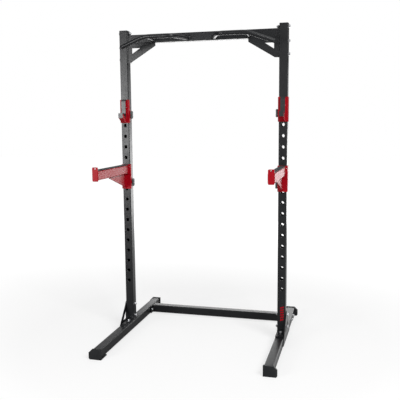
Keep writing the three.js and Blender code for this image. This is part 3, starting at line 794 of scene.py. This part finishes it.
def cut_at_bar(line):
    """Drops what would run on inside the top bar, leaving the line's end on its face."""
    first, second = line[0], line[1]
    share = (POST_FRONT - first.y) / (second.y - first.y)
    return [first.lerp(second, share), *line[1:]]


def root_weld(centre, direction, diameter, size):
    """The bead round a bar that meets the top bar's front face at an angle."""
    forward = Vector(direction).normalized()
    stretch = 1 / abs(forward.y)
    sideways = Vector((1, 0, 0))
    loop = [centre + sideways * x * stretch + Vector((0, 0, z)) for x, z in circle(diameter, count=24)]
    return weld(loop, size, closed=True)


def pull_up_grip(sizes):
    line = cut_at_bar(bent_line(grip_corners(), GRIP_BEND))
    bar = swept(line, [GRIP_DIAMETER / 2] * len(line), count=28)
    bead = root_weld(line[0], line[1] - line[0], GRIP_DIAMETER, sizes.weld_size)
    return joined(bar, bead)


def grip_brace(sizes):
    """The short bar from the grip's outer bend back to the top bar."""
    corners = grip_corners()
    line = bent_line(corners, GRIP_BEND)
    bend = min(line, key=lambda p: (p - corners[2]).length)
    root = Vector((bend.x - STRUT_SPLAY, POST_FRONT, bend.z))
    along = (root - bend).normalized()
    start = bend + along * GRIP_DIAMETER / 3
    axis = spaced([start, root], STRUT_STEP)
    bar = swept(axis, [STRUT_DIAMETER / 2] * len(axis), count=24)
    bead = root_weld(root, along, STRUT_DIAMETER, sizes.weld_size)
    return joined(bar, bead)


def grip_end_cap():
    """A plastic cap with a round brow that closes the grip's free end."""
    corners = grip_corners()
    along = (corners[3] - corners[2]).normalized()
    radius, plug, brow = GRIP_DIAMETER / 2, GRIP_PLUG_RADIUS, GRIP_CAP_BROW
    flat, shoulder = radius - brow, GRIP_CAP_HEIGHT - brow
    profile = [
        (0, -GRIP_PLUG_DEPTH), (plug, -GRIP_PLUG_DEPTH), (plug, GAP), (radius, GAP), (radius, shoulder)]
    for k in range(1, 6):
        angle = math.radians(18 * k)
        profile.append((flat + brow * math.cos(angle), shoulder + brow * math.sin(angle)))
    profile.append((0, GRIP_CAP_HEIGHT))
    return turned(profile, pointing(along, corners[3]))


class SQUATSTAND_OT_grips(bpy.types.Operator):
    """Finish the bent pull-up grips, their braces and their end caps"""

    bl_idname = "squat_stand.grips"
    bl_label = "Pull-up grips"

    def execute(self, context):
        sizes = context.scene.stand_sizes
        add_pair("pull_up_grip", lambda: pull_up_grip(sizes), FRAME_COAT, "frame", ["grip"])
        add_pair("grip_brace", lambda: grip_brace(sizes), FRAME_COAT, "frame", ["grip_strut"])
        add_pair("grip_end_cap", grip_end_cap, "black_plastic", "frame", ["grip_cap"])
        return {"FINISHED"}


# ---- Bar hooks ----------------------------------------------------------------------------------

BUTTON_RADIUS = 0.0036
BUTTON_HEIGHT = 0.0018
BEAD_INSET = 0.004
BLOCK_EDGE = 0.0014
BLOCK_SCREW = (0.007, 0.113)  # from the block's back and from the plate's lower edge
SPINE_DEPTH = 0.018
LINING_EDGE = 0.0009
LINING_CAP_PROUD = 0.0008
LINING_CAP_HEIGHT = 0.012
LINING_CAP_REACH = (0.0062, 0.010)  # ahead of and behind the front of the spine
LINING_CAP_EDGE = 0.0012
KNOB_CORNER = 0.010
KNOB_THICKNESS = 0.013
KNOB_EDGE = 0.003
HUB_RADIUS = 0.0095
HUB_CHAMFER = (0.001, 0.0006)  # inward and down
HUB_RISE = 0.0014
HUB_SINK = 0.002
RIB_LEVELS = (-0.0165, -0.011, 0.011, 0.0165)
RIB_WIDTH = 0.0024
RIB_RISE = 0.0012
RIB_SINK = 0.001
RIB_REACH = 0.36  # of the handle's depth, each way
RIB_EDGE = 0.0005
SCREW_RADIUS = 0.006
SCREW_CHAMFER = 0.001
SCREW_SINK = 0.002


def on_fold(low):
    """Tells the two long upright folds at a bracket's front from its other edges."""
    def is_fold(edge):
        a, b = edge.verts[0].co, edge.verts[1].co
        upright = abs(a.x - b.x) < 1e-5 and abs(a.y - b.y) < 1e-5 and abs(a.z - b.z) > 0.1
        return upright and abs(a.y - low.y) < 1e-5
    return is_fold


def hanging_plate(node, sizes):
    return refined(node, sizes.plate_edge, (sizes.fold_radius, on_fold(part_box(node)[0])))


def button(x, y, z, direction=(0, -1, 0)):
    """A low round screw head with a round socket."""
    r, h = BUTTON_RADIUS, BUTTON_HEIGHT
    profile = [(0, 0), (r, 0), (r, h * 0.45), (r * 0.88, h * 0.8), (r * 0.62, h), (r * 0.42, h),
               (r * 0.36, h * 0.35), (0, h * 0.35)]
    return turned(profile, pointing(direction, (x, y, z)), count=24)


def hook_buttons():
    """The heads of the screw that runs across the hook's spine."""
    low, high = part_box("right_hook_cradle")
    y, z = high.y - BLOCK_SCREW[0], HOOK_LOW.z + BLOCK_SCREW[1]
    return joined(button(low.x, y, z, (-1, 0, 0)), button(high.x, y, z, (1, 0, 0)))


def hook_block(sizes):
    """The J-shaped block with the welds that hold it to its plate."""
    low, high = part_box("right_hook_cradle")
    body = refined("right_hook_cradle", BLOCK_EDGE)
    bottom, top = low.z + BEAD_INSET, high.z - BEAD_INSET
    beads = [weld([(x, high.y, bottom), (x, high.y, top)], sizes.weld_size) for x in (low.x, high.x)]
    return joined(body, *beads)


def lining_cap():
    """A dark block over the upper end of the wear strip."""
    low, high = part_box("right_hook_liner")
    spine_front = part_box("right_hook_cradle")[1].y - SPINE_DEPTH
    ahead, behind = LINING_CAP_REACH
    return block(
        (low.x - LINING_CAP_PROUD, spine_front - ahead, high.z - LINING_CAP_HEIGHT),
        (high.x + LINING_CAP_PROUD, spine_front + behind, high.z + GAP), LINING_CAP_EDGE, 3)


def clamp_knob(node):
    """A tall moulded handle with ribs and a round hub, on a screw."""
    low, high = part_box(node)
    centre_y, centre_z = (low.y + high.y) / 2, (low.z + high.z) / 2
    height, depth, length = high.z - low.z, high.y - low.y, high.x - low.x
    axis = pointing((1, 0, 0), (low.x, centre_y, centre_z))
    grasp = plate(
        rounded_outline(depth, height, KNOB_CORNER, 8), KNOB_THICKNESS,
        facing_x((low.x, centre_y, centre_z)), KNOB_EDGE)
    base, top = KNOB_THICKNESS - HUB_SINK, KNOB_THICKNESS + HUB_RISE
    hub = turned(
        [(0, base), (HUB_RADIUS, base), (HUB_RADIUS, top - HUB_CHAMFER[1]),
         (HUB_RADIUS - HUB_CHAMFER[0], top), (0, top)], axis, 32)
    reach = depth * RIB_REACH
    ribs = []
    for level in RIB_LEVELS:
        bottom = centre_z + level - RIB_WIDTH / 2
        ribs.append(block(
            (low.x - RIB_RISE, centre_y - reach, bottom),
            (low.x + RIB_SINK, centre_y + reach, bottom + RIB_WIDTH), RIB_EDGE))
    screw = turned(
        [(0, SCREW_SINK), (SCREW_RADIUS, SCREW_SINK), (SCREW_RADIUS, length - SCREW_CHAMFER),
         (SCREW_RADIUS - SCREW_CHAMFER, length), (0, length)], axis, 24)
    return joined(grasp, hub, screw, *ribs)


class SQUATSTAND_OT_hooks(bpy.types.Operator):
    """Finish the bar hooks with their wear strips and clamp knobs"""

    bl_idname = "squat_stand.hooks"
    bl_label = "Bar hooks"

    def execute(self, context):
        sizes = context.scene.stand_sizes
        add_pair(
            "hook_plate", lambda: hanging_plate("right_hook_bracket", sizes),
            "red_powder_coat", "hook", ["hook_bracket"])
        add_pair("hook_block", lambda: hook_block(sizes), "red_powder_coat", "hook", ["hook_cradle"])
        add_pair(
            "hook_lining", lambda: refined("right_hook_liner", LINING_EDGE),
            "grey_liner", "hook", ["hook_liner"])
        add_pair("hook_lining_cap", lining_cap, "black_plastic", "hook")
        add_pair("hook_buttons", hook_buttons, "zinc", "hook")
        add_pair(
            "hook_knob", lambda: clamp_knob("right_hook_clamp_screw"),
            "grey_plastic", "hook_clamp", ["hook_clamp_screw"])
        return {"FINISHED"}


# ---- Spotter arms -------------------------------------------------------------------------------

PAD_EDGE = 0.0022
END_CORNER = 0.007
END_EDGE = 0.0012
END_HOLE_DROP = 0.0095
PLATE_BUTTON_INSET = 0.002
PLATE_BUTTON_DROP = 0.018
ARM_BUTTON = (0.108, 0.024)  # from the arm's rear end and from its underside


def arm_tube(sizes):
    centre = ((ARM_LOW.x + ARM_HIGH.x) / 2, ARM_LOW.y, (ARM_LOW.z + ARM_HIGH.z) / 2)
    width, height = ARM_HIGH.x - ARM_LOW.x, ARM_HIGH.z - ARM_LOW.z
    tube = box_tube(
        width, height, sizes.tube_corner, sizes.tube_wall, ARM_HIGH.y - ARM_LOW.y, along_y(centre))
    loops = []
    for y in (ARM_LOW.y, ARM_HIGH.y):
        loop = outline_loop(width, height, sizes.tube_corner, facing_front((centre[0], y, centre[2])))
        loops.append(weld(loop, sizes.weld_size, closed=True))
    return joined(tube, *loops)


def arm_pad():
    low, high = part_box("right_spotter_pad")
    return block(low, high, PAD_EDGE, 4)


def arm_end():
    """The upright plate that keeps a bar from rolling off the arm."""
    low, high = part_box("right_spotter_end_plate")
    centre_z = (low.z + high.z) / 2
    outline = rounded_outline(high.x - low.x, high.z - low.z, END_CORNER, 8)
    hole = circle(SMALL_HOLE, (0, high.z - centre_z - END_HOLE_DROP), 24)
    place = facing_front(((low.x + high.x) / 2, high.y, centre_z))
    return plate(outline, high.y - low.y, place, END_EDGE, [hole])


def arm_web(sizes):
    """The three-cornered plate below the arm, welded along both edges."""
    low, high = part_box("right_spotter_gusset")
    web = refined("right_spotter_gusset", sizes.plate_edge)
    beads = []
    for x in (low.x, high.x):
        corner = (x, high.y, high.z)
        beads.append(weld([(x, low.y + BEAD_INSET, high.z), corner], sizes.weld_size))
        beads.append(weld([(x, high.y, low.z + BEAD_INSET), corner], sizes.weld_size))
    return joined(web, *beads)


def arm_buttons():
    """Two screw heads at the top of the plate and one on each side of the arm."""
    low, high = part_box("right_spotter_bracket")
    reach = TUBE / 2 - PLATE_BUTTON_INSET
    front = [button(POST_X + x, low.y, high.z - PLATE_BUTTON_DROP) for x in (-reach, reach)]
    y, z = ARM_HIGH.y - ARM_BUTTON[0], ARM_LOW.z + ARM_BUTTON[1]
    sides = [button(x, y, z, (side, 0, 0)) for side, x in ((-1, ARM_LOW.x), (1, ARM_HIGH.x))]
    return joined(*front, *sides)


class SQUATSTAND_OT_spotters(bpy.types.Operator):
    """Finish the spotter arms with their pads, end plates and clamp knobs"""

    bl_idname = "squat_stand.spotters"
    bl_label = "Spotter arms"

    def execute(self, context):
        sizes = context.scene.stand_sizes
        red = "red_powder_coat"
        add_pair(
            "arm_plate", lambda: hanging_plate("right_spotter_bracket", sizes), red, "spotter",
            ["spotter_bracket"])
        add_pair("arm_tube", lambda: arm_tube(sizes), red, "spotter", ["spotter_arm"])
        add_pair("arm_end", arm_end, red, "spotter", ["spotter_end_plate"])
        add_pair("arm_web", lambda: arm_web(sizes), red, "spotter", ["spotter_gusset"])
        add_pair("arm_pad", arm_pad, "pad_rubber", "spotter", ["spotter_pad"])
        add_pair("arm_buttons", arm_buttons, "zinc", "spotter")
        add_pair(
            "arm_knob", lambda: clamp_knob("right_spotter_clamp_screw"), "grey_plastic",
            "spotter_clamp", ["spotter_clamp_screw"])
        return {"FINISHED"}


# ---- Fasteners ----------------------------------------------------------------------------------

BOLT_RADIUS = 0.006
HEAD_HEIGHT = 0.008
WASHER_HEIGHT = 0.0025
WASHER_RADIUS = 0.012
HEX_RADIUS = 0.0105
NUT_HEIGHT = 0.010
NUT_FROM_END = 0.003
NUT_COLLAR = 0.0025
COLLAR_RADIUS = 0.0086
BOLT_CHAMFER = 0.001
WASHER_CHAMFER = 0.0004
COLLAR_CHAMFER = 0.0006
HEX_EDGE = 0.0003
HEX_CONE = 0.9  # of the hexagon's radius, where its chamfers end
HEAD_LEAD = 0.0006
HEAD_CROWN = (0.0014, 0.0004)  # start and end of the crown's chamfer, below the top
HEAD_FLAT = 0.8  # of the hexagon's radius
NUT_CHAMFER = 0.0008
COLLAR_SEAT = 0.001


def fastener(node, direction):
    """A plated bolt that fills its engineering piece, with its head at the far end of a direction."""
    low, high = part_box(node)
    toward = Vector(direction)
    axis = max(range(3), key=lambda i: abs(toward[i]))
    tail = (low + high) / 2
    tail[axis] = low[axis] if toward[axis] > 0 else high[axis]
    length = high[axis] - low[axis]
    seat = length - HEAD_HEIGHT
    place = pointing(toward, tail)
    shank = turned(
        [(0, 0), (BOLT_RADIUS - BOLT_CHAMFER, 0), (BOLT_RADIUS, BOLT_CHAMFER),
         (BOLT_RADIUS, seat + BOLT_CHAMFER), (0, seat + BOLT_CHAMFER)], place, 24)
    cone = HEX_RADIUS * HEX_CONE
    head = turned(
        [(0, seat), (cone, seat), (HEX_RADIUS, seat + HEAD_LEAD), (HEX_RADIUS, length - HEAD_CROWN[0]),
         (cone, length - HEAD_CROWN[1]), (HEX_RADIUS * HEAD_FLAT, length), (0, length)], place, 6)
    under = seat - WASHER_HEIGHT
    rim = WASHER_RADIUS - WASHER_CHAMFER
    washer = turned(
        [(0, under), (rim, under), (WASHER_RADIUS, under + WASHER_CHAMFER),
         (WASHER_RADIUS, seat - WASHER_CHAMFER), (rim, seat), (0, seat)], place, 40)
    top = NUT_FROM_END + NUT_COLLAR
    base = NUT_FROM_END + NUT_HEIGHT
    nut = turned(
        [(0, base), (cone, base), (HEX_RADIUS, base - NUT_CHAMFER), (HEX_RADIUS, top + NUT_CHAMFER),
         (cone, top), (0, top)], place, 6)
    collar = turned(
        [(0, top + COLLAR_SEAT), (COLLAR_RADIUS, top + COLLAR_SEAT),
         (COLLAR_RADIUS, NUT_FROM_END + COLLAR_CHAMFER),
         (COLLAR_RADIUS - COLLAR_CHAMFER, NUT_FROM_END), (0, NUT_FROM_END)], place, 32)
    for part in (head, nut):
        round_edges(part, HEX_EDGE, 1)
    return joined(shank, head, washer, nut, collar)


FASTENERS = (
    ("top_bolt", ("upper", "middle", "lower"), (1, 0, 0)),
    ("base_bolt", ("lower", "upper"), (1, 0, 0)),
    ("foot_bolt", ("front", "rear"), (0, 0, 1)),
    ("rear_bolt", ("front", "rear"), (-1, 0, 0)),
)


class SQUATSTAND_OT_fasteners(bpy.types.Operator):
    """Finish the plated bolts, washers and nuts"""

    bl_idname = "squat_stand.fasteners"
    bl_label = "Fasteners"

    def execute(self, context):
        for group, places, direction in FASTENERS:
            for place in places:
                node = f"{group}_{place}"
                add_pair(
                    f"{node}_set", lambda: fastener(f"right_{node}", direction),
                    "zinc", "frame", [node])
        return {"FINISHED"}


# ---- Printed stripes ----------------------------------------------------------------------------

STRIPE_THICKNESS = 0.0003
STRIPE_SINK = 0.0001
STRIPE_EDGE = 0.00008
STRIPE_SHIFT = 0.004  # to the right of the upright's middle


def stripes(first, count, rise, height, width, lean):
    """Plain slanted bars, thin as paint, up the front of the right upright."""
    parts = []
    for k in range(count):
        left, right = first + k * rise, first + k * rise + lean
        outline = [(-width / 2, left), (width / 2, right), (width / 2, right + height),
                   (-width / 2, left + height)]
        place = facing_front((POST_X + STRIPE_SHIFT, POST_FRONT + STRIPE_SINK, 0))
        parts.append(plate(outline, STRIPE_THICKNESS, place, STRIPE_EDGE))
    return joined(*parts)


class SQUATSTAND_OT_stripes(bpy.types.Operator):
    """Add the printed stripes on the right upright"""

    bl_idname = "squat_stand.stripes"
    bl_label = "Stripes"

    def execute(self, context):
        lower = stripes(first=0.154, count=6, rise=0.018, height=0.0105, width=0.026, lean=0.009)
        add_piece("red_stripes", lower, "red_powder_coat", "frame")
        upper = stripes(first=0.268, count=5, rise=0.0125, height=0.0045, width=0.014, lean=0.004)
        add_piece("grey_stripes", upper, "grey_liner", "frame")
        return {"FINISHED"}


# ---- Stage --------------------------------------------------------------------------------------

FLOOR_SIZE = 40
FLOOR_GREY = 0.35
FLOOR_GLOW = 0.68  # near the stand, as the camera sees it
FLOOR_FADE = (1.3, 4.5)  # distances between which the glow rises to full white
REAR_SHINE = 0.3  # of the floor behind the stand, as the stand mirrors it
REAR_SHINE_FROM = (0.3, 1.4)
SIDE_SHINE = 0.6  # of the floor to the right of the stand
SIDE_SHINE_FROM = (0.60, 0.68)
ROOM_LIGHT = 0.1
SENSOR_WIDTH = 36
CAMERA_PLACE = (1.105, -4.209, 1.590)
CAMERA_YAW = 14.91
CAMERA_PITCH = 7.48
CAMERA_ROLL = 0.54
# Each soft box: place, target, width, height, and the setting that holds its power.
SOFT_BOXES = {
    "backdrop": ((1.2, 5.2, 0.7), (1.2, 0, 0.7), 7.0, 1.4, "backdrop_power"),
    "upper_backdrop": ((-0.9, 5.2, 1.9), (-0.9, 0, 1.9), 5.8, 1.0, "upper_power"),
    "top_light": ((0, 0.4, 4.8), (0, 0, 0), 5, 5, "top_power"),
    "side_box": ((-2.4, -4.2, 1.6), (-0.6, 0, 1.4), 1.8, 1.7, "side_power"),
    "front_light": ((3.4, -3.6, 4.4), (0, 0, 1), 2.4, 2.4, "front_power"),
    "fill_box": ((0.3, -5.0, 2.3), (0.3, 0, 1.6), 2.0, 1.6, "fill_power"),
}


def soft_box(name, place, target, width, height, power):
    light = bpy.data.lights.new(name, "AREA")
    light.shape = "RECTANGLE"
    light.size = width
    light.size_y = height
    light.energy = power
    lamp = bpy.data.objects.new(name, light)
    bpy.context.scene.collection.objects.link(lamp)
    lamp.location = place
    lamp.rotation_euler = (Vector(target) - Vector(place)).to_track_quat("-Z", "Y").to_euler()
    lamp.visible_camera = False


def make_world():
    """A room that is white to look at and dim for lighting."""
    world = bpy.data.worlds.new("Studio")
    bpy.context.scene.world = world
    world.use_nodes = True
    nodes, links = world.node_tree.nodes, world.node_tree.links
    background = nodes["Background"]
    path = nodes.new("ShaderNodeLightPath")
    strength = ranged(nodes, links, path.outputs["Is Camera Ray"], (0, 1), (ROOM_LIGHT, 1))
    links.new(strength, background.inputs["Strength"])
    background.inputs["Color"].default_value = (1, 1, 1, 1)


def floor_material():
    """A grey that glows white to the camera, and behind and beside the stand shines in it too."""
    material = bpy.data.materials.new("studio_floor")
    material.use_nodes = True
    nodes, links = material.node_tree.nodes, material.node_tree.links
    nodes.clear()
    matt = nodes.new("ShaderNodeBsdfDiffuse")
    matt.inputs["Color"].default_value = (FLOOR_GREY, FLOOR_GREY, FLOOR_GREY, 1)
    path = nodes.new("ShaderNodeLightPath")
    coordinates = nodes.new("ShaderNodeTexCoord")
    away = nodes.new("ShaderNodeVectorMath")
    away.operation = "LENGTH"
    links.new(coordinates.outputs["Object"], away.inputs[0])
    fade = ranged(nodes, links, away.outputs["Value"], FLOOR_FADE, (FLOOR_GLOW, 1))
    split = nodes.new("ShaderNodeSeparateXYZ")
    links.new(coordinates.outputs["Object"], split.inputs[0])
    behind = ranged(nodes, links, split.outputs["Y"], REAR_SHINE_FROM, (0, REAR_SHINE))
    beside = ranged(nodes, links, split.outputs["X"], SIDE_SHINE_FROM, (0, SIDE_SHINE))
    seen = maths(nodes, links, "MULTIPLY", path.outputs["Is Camera Ray"], fade)
    brighter = maths(nodes, links, "MAXIMUM", behind, beside)
    strength = maths(nodes, links, "MULTIPLY_ADD", path.outputs["Is Glossy Ray"], brighter, seen)
    glow = nodes.new("ShaderNodeEmission")
    links.new(strength, glow.inputs["Strength"])
    both = nodes.new("ShaderNodeAddShader")
    links.new(matt.outputs[0], both.inputs[0])
    links.new(glow.outputs[0], both.inputs[1])
    output = nodes.new("ShaderNodeOutputMaterial")
    links.new(both.outputs[0], output.inputs["Surface"])
    return material


def make_floor():
    """A pale floor that is as white as the room and takes soft shadows."""
    shape = bmesh.new()
    bmesh.ops.create_grid(shape, x_segments=8, y_segments=8, size=FLOOR_SIZE / 2)
    mesh = bpy.data.meshes.new("studio_floor")
    shape.to_mesh(mesh)
    shape.free()
    mesh.materials.append(floor_material())
    floor = bpy.data.objects.new("studio_floor", mesh)
    bpy.context.scene.collection.objects.link(floor)


def make_camera(lens):
    yaw, pitch, roll = (math.radians(a) for a in (CAMERA_YAW, CAMERA_PITCH, CAMERA_ROLL))
    look = Vector((
        -math.sin(yaw) * math.cos(pitch), math.cos(yaw) * math.cos(pitch), -math.sin(pitch)))
    level = look.cross(Vector((0, 0, 1))).normalized()
    rise = level.cross(look)
    right = level * math.cos(roll) - rise * math.sin(roll)
    up = rise * math.cos(roll) + level * math.sin(roll)
    data = bpy.data.cameras.new("camera")
    data.lens = lens
    data.sensor_width = SENSOR_WIDTH
    camera = bpy.data.objects.new("camera", data)
    bpy.context.scene.collection.objects.link(camera)
    matrix = Matrix((right, up, -look)).transposed().to_4x4()
    matrix.translation = Vector(CAMERA_PLACE)
    camera.matrix_world = matrix
    bpy.context.scene.camera = camera


class SQUATSTAND_OT_stage(bpy.types.Operator):
    """Set up the floor, the lights and the camera"""

    bl_idname = "squat_stand.stage"
    bl_label = "Studio"

    def execute(self, context):
        stage = context.scene.stand_stage
        make_world()
        make_floor()
        for name, (place, target, width, height, power) in SOFT_BOXES.items():
            soft_box(name, place, target, width, height, getattr(stage, power))
        make_camera(stage.lens)
        context.scene.view_settings.view_transform = "Standard"
        return {"FINISHED"}


# ---- Add-on -------------------------------------------------------------------------------------

STEPS = (
    SQUATSTAND_OT_finishes,
    SQUATSTAND_OT_rails,
    SQUATSTAND_OT_uprights,
    SQUATSTAND_OT_gussets,
    SQUATSTAND_OT_crossbars,
    SQUATSTAND_OT_grips,
    SQUATSTAND_OT_hooks,
    SQUATSTAND_OT_spotters,
    SQUATSTAND_OT_fasteners,
    SQUATSTAND_OT_stripes,
    SQUATSTAND_OT_stage,
)


class SQUATSTAND_PT_panel(bpy.types.Panel):
    """Lists the steps that finish the stand, with its sizes and colours"""

    bl_idname = "SQUATSTAND_PT_panel"
    bl_label = "Squat stand"
    bl_space_type = "VIEW_3D"
    bl_region_type = "UI"
    bl_category = "Squat stand"

    def draw(self, context):
        scene = context.scene
        for settings in (scene.stand_sizes, scene.stand_colours, scene.stand_stage):
            column = self.layout.column(align=True)
            for name in settings.__annotations__:
                column.prop(settings, name)
        for step in STEPS:
            self.layout.operator(step.bl_idname)


SETTINGS = (
    ("stand_sizes", StandSizes),
    ("stand_colours", StandColours),
    ("stand_stage", StageSettings),
)


def register():
    for name, settings in SETTINGS:
        bpy.utils.register_class(settings)
        setattr(bpy.types.Scene, name, PointerProperty(type=settings))
    for step in STEPS:
        bpy.utils.register_class(step)
    bpy.utils.register_class(SQUATSTAND_PT_panel)


def unregister():
    bpy.utils.unregister_class(SQUATSTAND_PT_panel)
    for step in reversed(STEPS):
        bpy.utils.unregister_class(step)
    for name, settings in reversed(SETTINGS):
        delattr(bpy.types.Scene, name)
        bpy.utils.unregister_class(settings)


def main():
    register()
    for step in STEPS:
        group, action = step.bl_idname.split(".")
        getattr(getattr(bpy.ops, group), action)()


if __name__ == "__main__":
    main()
